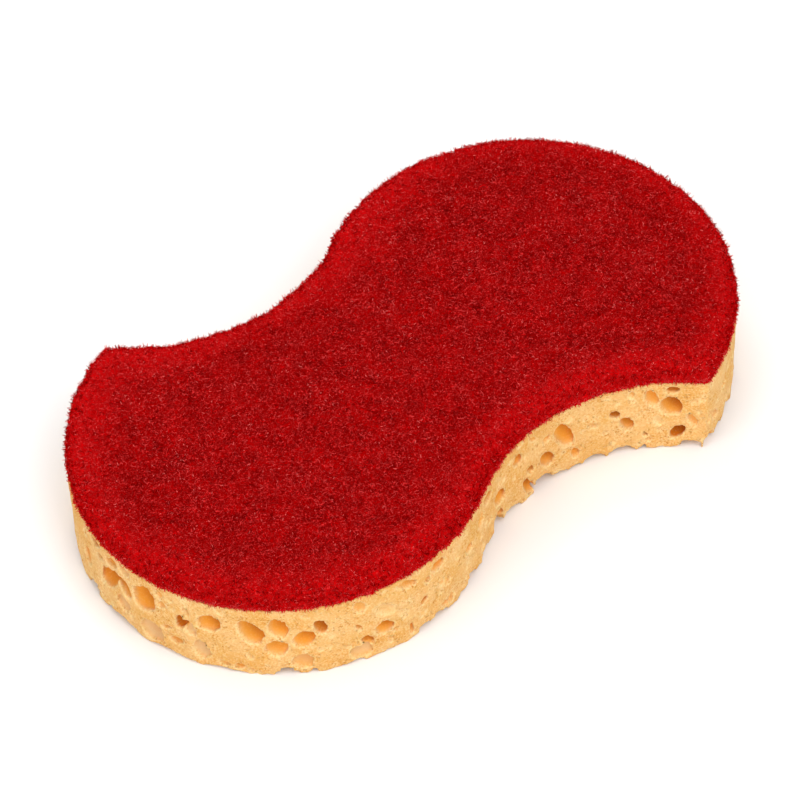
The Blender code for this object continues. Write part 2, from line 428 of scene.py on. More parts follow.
class Graph:
    """The nodes of one material, or of the world."""

    def __init__(self, owner: bpy.types.Material | bpy.types.World) -> None:
        """Takes over the owner's nodes, starting with none."""
        self.owner = owner
        owner.use_nodes = True
        self.tree = owner.node_tree
        self.tree.nodes.clear()

    @classmethod
    def of_material(cls, name: str) -> Graph:
        """The nodes of a new material."""
        return cls(bpy.data.materials.new(name))

    def node(
        self, kind: str, settings: dict[str, Any], sockets: dict[str | int, Any], output: str | int = 0
    ) -> Wire:
        """Adds a node.

        Args:
            kind: its type.
            settings: its properties, set first.
            sockets: a number, a tuple or a Wire for each input, by the input's identifier, name or
                place.
            output: the name or place of the output that is returned.

        Returns:
            The output as a Wire.
        """
        made = self.tree.nodes.new(kind)
        for key, value in settings.items():
            setattr(made, key, value)
        for key, value in sockets.items():
            found = [s for s in made.inputs if s.identifier == key] or [made.inputs[key]]
            if isinstance(value, Wire):
                self.tree.links.new(value.socket, found[0])
            else:
                found[0].default_value = value
        return Wire(self, made.outputs[output])

    def place(self) -> Wire:
        """The surface point in the object's own coordinates."""
        return self.node("ShaderNodeTexCoord", {}, {}, "Object")

    def attribute(self, name: str) -> Wire:
        """A number that each point of the mesh holds."""
        return self.node("ShaderNodeAttribute", {"attribute_name": name}, {}, "Fac")

    def noise(self, grain: float, detail: float = 2.0, offset: Sequence[float] = (0, 0, 0)) -> Wire:
        """Noise from 0 to 1 with features of about this size in metres, moved by the offset."""
        moved = self.node("ShaderNodeMapping", {}, {"Vector": self.place(), "Location": tuple(offset)})
        inputs = {"Vector": moved, "Scale": 1 / grain, "Detail": detail}
        return self.node("ShaderNodeTexNoise", {}, inputs, "Fac")

    def specks(self, grain: float) -> Wire:
        """The distance to the nearest of many scattered points, in cells of this size in metres."""
        inputs = {"Vector": self.place(), "Scale": 1 / grain}
        return self.node("ShaderNodeTexVoronoi", {"feature": "F1"}, inputs, "Distance")

    def mix(self, factor: Wire | float, first: Any, second: Any) -> Wire:
        """One colour turned towards another by the factor."""
        inputs = {"Factor_Float": factor, "A_Color": first, "B_Color": second}
        return self.node("ShaderNodeMix", {"data_type": "RGBA", "blend_type": "MIX"}, inputs, 2)

    def bump(self, height: Wire, distance: float, strength: float = 1.0) -> Wire:
        """A normal that makes this height, in units of the distance, show."""
        inputs = {"Height": height, "Distance": distance, "Strength": strength}
        return self.node("ShaderNodeBump", {}, inputs, "Normal")

    def finish(self, **sockets: Any) -> bpy.types.Material:
        """Closes a material with a Principled shader.

        Args:
            sockets: the shader's inputs, with _ for a space.

        Returns:
            The material.
        """
        named = {key.replace("_", " "): value for key, value in sockets.items()}
        self.end(self.node("ShaderNodeBsdfPrincipled", {}, named, "BSDF"))
        return self.owner

    def end(self, shader: Wire) -> None:
        """Sends a shader to the surface of the material or world."""
        made = self.tree.nodes.new(f"ShaderNodeOutput{type(self.owner).__name__}")
        self.tree.links.new(shader.socket, made.inputs["Surface"])


def rgba(red: float, green: float, blue: float) -> tuple[float, float, float, float]:
    """A linear colour with full cover."""
    return (red, green, blue, 1.0)


def add_piece(name: str, points: Floats, faces: Iterable[Whole], smooth: bool = True) -> bpy.types.Object:
    """A mesh object at the origin.

    Args:
        name: the object's name.
        points: an (n, 3) array.
        faces: arrays of point numbers, each with one row for a face.
        smooth: whether its faces are shaded smooth.

    Returns:
        The object.
    """
    blocks = [np.asarray(block) for block in faces]
    corners = np.concatenate([block.ravel() for block in blocks])
    sides = np.concatenate([np.full(len(block), block.shape[1]) for block in blocks])
    mesh = bpy.data.meshes.new(name)
    mesh.vertices.add(len(points))
    mesh.vertices.foreach_set("co", points.astype(np.float32).ravel())
    mesh.loops.add(len(corners))
    mesh.loops.foreach_set("vertex_index", corners.astype(np.int32))
    mesh.polygons.add(len(sides))
    mesh.polygons.foreach_set("loop_start", (np.cumsum(sides) - sides).astype(np.int32))
    mesh.polygons.foreach_set("use_smooth", np.full(len(sides), smooth))
    mesh.update(calc_edges=True)
    mesh.validate()
    made = bpy.data.objects.new(name, mesh)
    bpy.context.scene.collection.objects.link(made)
    return made


def close_lid(piece: bpy.types.Object) -> None:
    """Closes a mesh's open top or bottom with a flat face, with a sharp edge round it.

    Args:
        piece: the mesh object.
    """
    mesh = bmesh.new()
    mesh.from_mesh(piece.data)
    rim = [edge for edge in mesh.edges if edge.is_boundary]
    bmesh.ops.holes_fill(mesh, edges=rim, sides=0)
    for edge in rim:
        edge.smooth = False
    mesh.to_mesh(piece.data)
    mesh.free()


def thin_out(piece: bpy.types.Object, triangles: int) -> None:
    """Merges the faces of a mesh where it is flattest.

    Args:
        piece: the mesh object.
        triangles: how many triangles are left at most.
    """
    count = sum(len(face.vertices) - 2 for face in piece.data.polygons)
    if count <= triangles:
        return
    thin = piece.modifiers.new("thin", "DECIMATE")
    thin.ratio = triangles / count
    settled = piece.evaluated_get(bpy.context.evaluated_depsgraph_get())
    mesh = bpy.data.meshes.new_from_object(settled)
    piece.modifiers.remove(thin)
    piece.data = mesh


def points_of(piece: bpy.types.Object) -> Floats:
    """The (n, 3) array of a mesh's points."""
    flat = np.empty(len(piece.data.vertices) * 3, np.float32)
    piece.data.vertices.foreach_get("co", flat)
    return flat.reshape(-1, 3).astype(float)


def hold(piece: bpy.types.Object, name: str, values: Floats) -> None:
    """Stores a number for each point of a mesh, for its material to read."""
    layer = piece.data.attributes.new(name, "FLOAT", "POINT")
    layer.data.foreach_set("value", values.astype(np.float32))


@dataclass(frozen=True)
class Pore:
    """An open cell of the sponge, a rounded hollow sunk into a face and a little wider than its mouth.

    In a wall it drifts up, and most often to the right, as it goes in, so that its upper right lip
    is a sharp overhang and its lower left side a gentle ramp. With a power of 2 it is an ellipsoid,
    with more it is squarer and with less more pointed.
    """

    place: Sequence[float]
    out: Sequence[float]
    width: float
    tall: float
    depth: float
    lean: float = 0.0
    pale: float = 0.0
    sink: float = 0.3
    drift: tuple[float, float] = (0.45, 0.40)
    power: float = 2.0

    def local(self) -> tuple[Floats, Floats, float]:
        """The map from places to the coordinates in which the cell has a radius of 1.

        With d the depth of a place under the face, and u and v how far along the two axes of the
        mouth it is, the coordinates are (u - a d) / r, (v - b d) / q and d / h - sink, for the two
        radii r and q, the height h and the drift (a, b).

        Returns:
            The cell's centre, a 3 x 3 array to multiply places less the centre by, and the mean
            radius.
        """
        out = np.array(self.out, float)
        upright = abs(out[2]) < 0.5
        side = np.cross((0, 0, 1), out) if upright else np.array((1.0, 0, 0))
        up = np.cross(out, side)
        cos, sin = math.cos(self.lean), math.sin(self.lean)
        side, up = cos * side + sin * up, cos * up - sin * side
        right, rise = self.drift if upright else (0.0, 0.0)
        drift = np.array((cos * right + sin * rise, cos * rise - sin * right))
        inner = self.depth / (1 + self.sink)
        widening = 1 / math.sqrt(1 - self.sink**2)
        radii = np.array((self.width / 2 * widening, self.tall / 2 * widening, inner))
        under = inner * self.sink
        centre = np.array(self.place) + under * (drift[0] * side + drift[1] * up - out)
        rows = np.array((side + drift[0] * out, up + drift[1] * out, out))
        return centre, rows / radii[:, None], float(radii.mean())


@dataclass(frozen=True)
class PorePlan:
    """Where the block's pores lie and how big they are."""

    widths: tuple[float, float] = (0.0022, 0.0056)
    slenderness: tuple[float, float] = (0.75, 1.25)
    depth_share: tuple[float, float] = (0.45, 0.8)
    rib: float = 0.0022
    packed_thickness: float = 0.0194
    back_count: int = 32
    base_count: int = 46
    rest_radius: float = 0.009
    rim: float = 0.006
    seed: int = 4
    tries: int = 4000
    pale_every: int = 4
    lean_reach: float = 0.8
    back_powers: tuple[float, float] = (1.6, 2.2)
    middling_widths: tuple[float, float] = (0.0014, 0.0030)
    middling_slenderness: tuple[float, float] = (0.6, 1.7)
    middling_depth_share: tuple[float, float] = (0.25, 0.6)
    middling_pales: tuple[float, ...] = (0.0, 0.0, 0.8, -0.3)
    middling_rib: float = 0.0008
    middling_from: float = 0.166
    middling_count: int = 74
    fine_widths: tuple[float, float] = (0.0006, 0.0018)
    fine_depth_share: tuple[float, float] = (0.35, 0.7)
    fine_rim: float = 0.0006
    fine_wall_count: int = 420
    fine_base_count: int = 520

    # The near wall's pores: their powers in turn, how far a narrow, a wide and a left-hand one
    # drift to the right and how far all of them drift up, for each unit of depth, the width in
    # millimetres that counts as wide, and where along the wall, in millimetres, the left-hand end
    # starts and how long it takes to come in.
    near_powers: tuple[float, ...] = (1.7, 2.0, 1.85, 2.2)
    near_drifts: tuple[float, float, float, float] = (0.25, 0.75, -0.10, 0.40)
    wide_pore: float = 4
    left_end: tuple[float, float] = (136, 12)

    # The torn edge behind: how far from the middle and the end of the wall's length it keeps clear,
    # and its scallops' height as a share of the near ones', with the swing in it and its period.
    torn_behind: tuple[float, float] = (0.020, 0.016)
    torn_heights: tuple[float, float, float] = (0.62, 0.42, 0.0053)

    # Pores that show on the near wall: distance along it from the right-hand horn, height of the
    # middle, width, height and depth in millimetres, lean in degrees, and how pale the inside is
    # from -1 to 1, where below 0 it turns to painted shade sooner.
    near_rows: tuple[tuple[float, ...], ...] = (
        (2.4, 8.3, 1.7, 4.0, 1.2, 20, 0), (5.6, 4.6, 2.5, 4.2, 3.6, -30, -1),
        (6.6, 17.3, 2.8, 1.9, 1.9, 5, -0.8), (6.9, 12.6, 3.8, 5.2, 3.6, 10, -0.3),
        (9.3, 8.2, 1.7, 2.6, 0.7, 20, 1), (10.9, 15.3, 2.5, 4.4, 1.4, 10, 0),
        (12.0, 4.6, 1.1, 1.4, 1.3, 35, -0.5), (16.0, 8.9, 2.6, 4.7, 2.2, 20, -0.2),
        (18.5, 12.3, 2.3, 3.0, 2.6, 35, -0.8), (23.3, 10.9, 2.6, 1.3, 0.9, -40, 0),
        (27.5, 4.8, 1.8, 3.0, 1.4, 10, 0), (30.1, 11.6, 3.7, 6.8, 2.0, 25, 0),
        (34.7, 7.8, 3.6, 4.7, 2.6, 30, -0.2), (38.4, 16.6, 1.0, 3.2, 0.9, 40, 0),
        (39.2, 8.5, 1.7, 2.9, 1.8, 20, -0.4), (40.0, 3.8, 2.6, 4.8, 2.6, 30, 0),
        (43.3, 14.4, 2.8, 3.2, 2.2, 25, -0.2), (49.9, 9.6, 4.9, 3.6, 2.6, -30, 0),
        (50.1, 4.3, 3.2, 2.4, 2.2, -35, 0.3), (55.7, 15.7, 3.9, 2.3, 2.2, -25, -0.3),
        (59.8, 13.2, 3.4, 3.4, 1.2, 40, 0), (65.9, 11.2, 2.2, 2.7, 1.5, 45, 0),
        (74.7, 3.1, 2.5, 1.6, 1.1, -45, 0), (76.7, 16.4, 3.4, 2.7, 2.1, 5, 0),
        (80.5, 8.8, 1.4, 2.2, 1.9, -35, -0.4), (83.8, 2.8, 1.0, 3.2, 1.2, 5, 0),
        (84.8, 17.3, 4.4, 1.9, 1.2, -20, 0), (88.9, 3.2, 0.8, 1.8, 0.8, 15, 0),
        (90.0, 12.9, 5.5, 3.2, 0.7, -35, 0.6), (90.2, 7.5, 4.2, 3.6, 2.4, 0, 0),
        (94.0, 5.7, 1.8, 3.1, 1.9, 45, -0.5), (95.3, 16.4, 2.1, 3.2, 0.9, 30, 0),
        (95.6, 2.8, 5.2, 3.6, 1.5, -35, 0.8), (95.7, 10.5, 1.0, 2.1, 1.2, 30, -0.2),
        (98.0, 5.6, 1.2, 0.9, 0.7, -40, 0), (103.4, 13.4, 2.8, 4.3, 3.0, 15, -0.6),
        (106.5, 17.1, 1.2, 1.0, 0.7, -45, 0), (106.9, 10.5, 3.7, 4.6, 2.2, -20, 0),
        (107.3, 3.7, 4.3, 4.2, 1.6, 35, 0.5), (112.5, 8.3, 4.2, 4.3, 1.8, -30, 0.1),
        (111.8, 14.4, 3.7, 6.0, 2.6, 15, 0), (117.3, 12.6, 4.1, 7.4, 3.0, 24, 0),
        (117.6, 5.3, 1.2, 1.9, 0.7, 25, 0), (123.0, 1.9, 2.4, 1.4, 1.0, -10, 0.4),
        (123.4, 18.1, 1.5, 2.5, 0.8, 25, 0.5), (125.8, 13.3, 4.7, 4.9, 2.8, -35, 0),
        (127.9, 4.8, 3.3, 5.0, 1.8, 5, 1), (130.0, 10.3, 2.2, 4.3, 1.3, 15, 0.9),
        (130.5, 14.9, 1.5, 3.1, 1.0, 20, 0.3), (132.2, 11.1, 1.9, 3.9, 2.8, -10, -0.9),
        (133.4, 4.7, 2.6, 1.7, 1.3, 20, -0.3), (136.2, 13.8, 1.7, 1.5, 1.1, 45, 0),
        (135.5, 7.5, 2.4, 1.0, 1.0, 25, -0.6), (136.7, 16.6, 1.4, 2.0, 0.9, 20, 0),
        (139.1, 3.7, 5.7, 5.9, 2.4, -35, 1), (140.9, 12.9, 5.4, 7.2, 3.2, 15, 0),
        (145.6, 17.3, 2.6, 3.1, 1.7, -10, 0.7), (145.9, 12.0, 3.0, 5.2, 3.6, 20, -0.2),
        (147.2, 6.3, 3.4, 4.3, 2.0, 15, 0.9), (149.9, 16.3, 3.4, 2.2, 2.4, 25, -0.2),
        (150.9, 10.9, 4.6, 8.4, 4.0, -45, 0), (153.9, 14.3, 2.6, 1.4, 2.2, 20, -0.3),
        (155.5, 17.2, 3.6, 2.3, 3.2, 15, -0.6), (160.0, 8.8, 2.8, 4.6, 1.8, 0, 0),
        (168.0, 5.0, 4.2, 4.3, 2.4, 0, 0.5), (171.0, 13.2, 3.4, 5.2, 2.2, 0, 0),
        (180.0, 9.4, 4.4, 4.3, 2.6, 0, 0), (189.5, 14.0, 3.2, 4.6, 2.2, 0, 0),
        (193.0, 5.0, 3.8, 5.2, 2.6, 0, 0.6),
    )

    # Scallops in the near wall's torn lower edge: distances along it where each starts, is highest
    # and ends, and its height, in millimetres.
    scallop_rows: tuple[tuple[float, ...], ...] = (
        (-15.0, -14.0, -11.0, 2.8), (-11.5, -9.9, -9.0, 1.4), (-8.7, -5.4, -4.4, 2.5),
        (-4.2, -1.2, -0.2, 2.9), (0.0, 3.2, 4.9, 2.0), (11.2, 12.1, 12.9, 1.3),
        (14.2, 16.6, 19.6, 1.7), (20.2, 22.8, 25.3, 1.6), (25.5, 27.4, 29.0, 1.0),
        (29.0, 31.4, 33.0, 1.4), (32.6, 36.0, 38.0, 3.7), (42.0, 46.2, 48.6, 1.7),
        (47.8, 52.1, 52.9, 4.4), (52.8, 54.2, 55.4, 1.2), (54.6, 58.1, 60.4, 2.6),
        (60.0, 61.0, 62.4, 1.3), (62.0, 65.2, 66.0, 2.8), (66.0, 67.8, 70.6, 0.7),
        (73.0, 77.0, 77.9, 1.7), (78.0, 80.2, 82.0, 1.9), (94.6, 96.2, 98.0, 0.7),
        (104.4, 105.1, 105.8, 1.1), (108.4, 110.6, 112.4, 2.4), (119.0, 123.5, 127.5, 0.6),
        (130.0, 135.5, 139.5, 0.5), (143.0, 149.0, 153.0, 1.5), (156.0, 159.0, 161.0, 2.2),
        (165.0, 169.0, 170.0, 1.4), (172.0, 174.5, 176.0, 2.2),
    )

    def near(self, wall: Wall) -> list[Pore]:
        """The listed pores, of which those at the left end go in more nearly straight.

        Args:
            wall: the wall to set them on.

        Returns:
            The pores.
        """
        narrow, wide, left, up = self.near_drifts
        start, length = self.left_end
        pores = []
        for number, (along, height, width, tall, depth, lean, pale) in enumerate(self.near_rows):
            place, out = wall.spot(along / 1000, height / 1000)
            size = (width / 1000, tall / 1000, depth / 1000)
            power = self.near_powers[number % len(self.near_powers)]
            straight = min(max((along - start) / length, 0), 1)
            right = narrow + (wide - narrow) * min(width / self.wide_pore, 1)
            drift = (right - (right - left) * straight, up)
            pores.append(Pore(place, out, *size, math.radians(lean), pale, drift=drift, power=power))
        return pores

    def torn_edge(self, wall: Wall, along: Floats) -> Floats:
        """How high the torn lower edge stands at distances along the wall.

        Each scallop is h sqrt(1 - t^2), with t going from 1 where it starts to 0 where it is highest
        and to 1 where it ends. The wall behind has the same scallops as the near wall, with heights
        that come and go.

        Args:
            wall: the wall.
            along: distances along it from the right-hand horn.

        Returns:
            An array of heights.
        """
        half = wall.length / 2
        high = np.zeros(along.shape)
        for start, peak, end, tall in np.array(self.scallop_rows) / 1000:
            apart = (along - peak + half / 2) % half - half / 2
            share = apart / np.where(apart < 0, peak - start, end - peak)
            high = np.maximum(high, tall * np.sqrt(np.clip(1 - share**2, 0, None)))
        middle, end = self.torn_behind
        share, swing, period = self.torn_heights
        behind = (along > half - middle) & (along < 2 * half - end)
        return np.where(behind, high * (share + swing * np.cos(along / period)), high)

    def scattered(self, wall: Wall, outline: SOutline) -> list[Pore]:
        """Pores over the wall behind and the base, clear of each other.

        Args:
            wall: the wall to set them on.
            outline: the outline that the wall follows.

        Returns:
            The pores.
        """
        chance = random.Random(self.seed)
        pores: list[Pore] = []
        made: list[tuple[float, float, float]] = []
        turns = random.Random(self.seed + 2)
        for _ in range(self.tries):
            if len(made) == self.back_count:
                break
            width, tall, depth = self._size(chance)
            along = chance.uniform(wall.length / 2 + width, wall.length - width)
            height = chance.uniform(0, self.packed_thickness - tall / 2 - self.rib / 2)
            if not self._clear(made, along, height, max(width, tall)):
                continue
            made.append((along, height, max(width, tall)))
            lean = turns.uniform(-self.lean_reach, self.lean_reach)
            power = turns.uniform(*self.back_powers)
            pale = self._paleness(len(pores))
            pores.append(Pore(*wall.spot(along, height), width, tall, depth, lean, pale, power=power))
        made = [(0.0, 0.0, 2 * self.rest_radius)]
        reach = outline.lobe_offset + outline.lobe_radius
        for _ in range(self.tries):
            if len(made) > self.base_count:
                break
            width, tall, depth = self._size(chance)
            x = chance.uniform(-reach, reach)
            y = chance.uniform(-outline.lobe_radius, outline.lobe_radius)
            if wall.inside_by(x, y) < self.rim or not self._clear(made, x, y, max(width, tall)):
                continue
            made.append((x, y, max(width, tall)))
            lean = chance.uniform(0, math.pi)
            pale = self._paleness(len(pores))
            pores.append(Pore((x, y, 0.0), (0, 0, -1), width, tall, depth, lean, pale))
        return pores

    def middling(self, wall: Wall, thickness: float, big: Sequence[Pore]) -> list[Pore]:
        """Shallow pores of middling size from the left-hand end on and behind.

        Args:
            wall: the wall to set them on.
            thickness: its height.
            big: the pores that they keep clear of, as they do of each other.

        Returns:
            The pores.
        """
        chance = random.Random(self.seed + 3)
        made = [(pore.place, max(pore.width, pore.tall)) for pore in big]
        pores: list[Pore] = []
        for _ in range(self.tries):
            if len(pores) == self.middling_count:
                break
            width = chance.uniform(*self.middling_widths)
            along = chance.uniform(self.middling_from, wall.length)
            place, out = wall.spot(along, chance.uniform(0, thickness - width / 2))
            ribs = (math.dist(place, other) - (width + across) / 2 for other, across in made)
            if min(ribs) < self.middling_rib:
                continue
            made.append((place, width))
            tall = width * chance.uniform(*self.middling_slenderness)
            depth = width * chance.uniform(*self.middling_depth_share)
            pale = chance.choice(self.middling_pales)
            lean = chance.uniform(-self.lean_reach, self.lean_reach)
            pores.append(Pore(place, out, width, tall, depth, lean, pale))
        return pores

    def fine(self, wall: Wall, outline: SOutline, thickness: float, big: Sequence[Pore]) -> list[Pore]:
        """Small pores, all over the wall and the base, but for the mouths of bigger ones.

        Args:
            wall: the wall to set them on.
            outline: the outline that the wall follows.
            thickness: the wall's height.
            big: the bigger pores.

        Returns:
            The pores.
        """
        chance = random.Random(self.seed + 1)
        middles = np.array([pore.place for pore in big])
        mouths = np.array([max(pore.width, pore.tall) / 2 + self.fine_rim for pore in big])
        reach = outline.lobe_offset + outline.lobe_radius
        pores = []
        for number in range(self.fine_wall_count + self.fine_base_count):
            width = self._fine_width(chance)
            if number < self.fine_wall_count:
                spot = wall.spot(chance.uniform(0, wall.length), chance.uniform(0, thickness - width))
            else:
                x = chance.uniform(-reach, reach)
                spot = (x, chance.uniform(-outline.lobe_radius, outline.lobe_radius), 0.0), (0, 0, -1)
            if (np.linalg.norm(middles - spot[0], axis=1) < mouths).any():
                continue
            tall = width * chance.uniform(*self.slenderness)
            depth = width * chance.uniform(*self.fine_depth_share)
            pores.append(Pore(*spot, width, tall, depth, chance.uniform(0, math.pi)))
        return pores

    def _fine_width(self, chance: random.Random) -> float:
        """A small pore's width, with more narrow ones than wide."""
        narrow, wide = self.fine_widths
        return narrow + (wide - narrow) * chance.random() ** 2

    def _size(self, chance: random.Random) -> tuple[float, float, float]:
        """Width, height and depth of a pore drawn at random, with more small ones than large."""
        narrow, wide = self.widths
        width = narrow + (wide - narrow) * chance.random() ** 2
        return width, width * chance.uniform(*self.slenderness), width * chance.uniform(*self.depth_share)

    def _clear(self, made: Sequence[tuple[float, float, float]], x: float, y: float, width: float) -> bool:
        """Whether a pore here leaves a rib between itself and each of the others."""
        return all(math.hypot(x - a, y - b) > (width + other) / 2 + self.rib for a, b, other in made)

    def _paleness(self, number: int) -> float:
        """How pale a scattered pore's inside is: a few are, as on the near wall."""
        return 0.8 if number % self.pale_every == 1 else 0.0


@dataclass(frozen=True)
class CelluloseFinish:
    """Dry cellulose: pale and finely grained outside. The warmer, then darker orange that it turns the
    deeper a point lies is painted bounce light and painted shade in its pores.
    """

    pale: tuple[float, ...] = rgba(0.86, 0.51, 0.195)
    face: tuple[float, ...] = rgba(0.81, 0.425, 0.118)
    # The pores' inside colours below, but for the chalky one, which is the pale pores' own, are painted
    # bounce light and shade, stronger with depth.
    inside: tuple[float, ...] = rgba(0.86, 0.345, 0.036)
    deepest: tuple[float, ...] = rgba(0.58, 0.155, 0.008)
    chalky: tuple[float, ...] = rgba(0.82, 0.56, 0.30)
    peach: tuple[float, ...] = rgba(0.74, 0.37, 0.12)
    # Painted shade: the darker orange of the sunk pits in the skin and of the grain's low points.
    speck: tuple[float, ...] = rgba(0.72, 0.28, 0.035)
    # Painted highlight: the paler cream of the raised grains and of the line along the pores' mouths.
    streak: tuple[float, ...] = rgba(0.96, 0.74, 0.38)

    # Depths in metres from where each change of colour, painted bounce light and shade in the pores, starts
    # to where it is full.
    skin: tuple[float, float] = (0.0003, 0.0010)
    sunk: tuple[float, float] = (0.0001, 0.0016)
    deep: tuple[float, float] = (0.0012, 0.0032)
    pale_deep: tuple[float, float] = (0.0007, 0.0022)
    dark_deep: tuple[float, float] = (0.0001, 0.0009)

    # Sizes in metres of the skin's patterns.
    cloud: float = 0.007
    grain: float = 0.00042
    cell: float = 0.00070
    sand: float = 0.0045
    speckled: float = 0.0022
    bump_height: float = 0.0004

    def material(self) -> bpy.types.Material:
        """The material, whose colour follows the depth and paleness that the mesh holds, with painted
        bounce light and shade that grow with depth.
        """
        graph = Graph.of_material("cellulose")
        depth = graph.attribute("pit")
        shade = graph.attribute("pale")
        pale, dark = shade.rise(0, 1), (0 - shade).rise(0, 1)
        skin = 1 - depth.rise(*self.skin)
        clouds = graph.noise(self.cloud, 3.0)
        colour = graph.mix(clouds.rise(0.35, 0.65), self.face, self.pale)
        # Painted bounce light and shade: deeper points turn a warmer, then darker orange, a pale pore's
        # inside a darker buff, and a dark pore's inside goes dark sooner.
        inside = graph.mix(pale, self.inside, self.chalky)
        colour = graph.mix(depth.rise(*self.sunk) * 0.95, colour, inside)
        colour = graph.mix(depth.rise(*self.deep) * (1 - pale), colour, self.deepest)
        colour = graph.mix(depth.rise(*self.pale_deep) * pale * 0.65, colour, self.peach)
        colour = graph.mix(depth.rise(*self.dark_deep) * dark, colour, self.deepest)
        # Painted highlight: a pale line along each pore's mouth.
        colour = graph.mix(graph.attribute("lip") * 0.6, colour, self.streak)
        # The grain's tone varies, and its colour follows the bump: the sunk pits and low points are
        # darkened as painted shade and the raised grains paled as painted highlight.
        sand = graph.noise(self.sand, 3.0, (0.3, 0.1, 0.2)).rise(0.42, 0.58)
        patches = graph.noise(self.speckled).rise(0.40, 0.60)
        specks = (1 - graph.specks(self.cell).rise(0.12, 0.36)) * patches * skin
        colour = graph.mix(specks * (sand * 0.55 + 0.45), colour, self.speck)
        grain = graph.noise(self.grain, 3.0)
        grains, hollows_painted_shade = grain.rise(0.50, 0.66), 1 - grain.rise(0.34, 0.52)
        colour = graph.mix(grains * (skin * 0.3 + 0.08), colour, self.streak)
        colour = graph.mix(hollows_painted_shade * (skin * (sand * 0.35 + 0.15) + 0.06), colour, self.speck)
        height = (grain * 0.6 - specks * 0.8) * (skin + 0.2)
        return graph.finish(
            Base_Color=colour,
            Roughness=0.9,
            Specular_IOR_Level=0.12,
            Subsurface_Weight=0.15,
            Subsurface_Radius=(1.0, 0.42, 0.14),
            Subsurface_Scale=0.0016,
            Normal=graph.bump(height, self.bump_height, 0.75),
        )


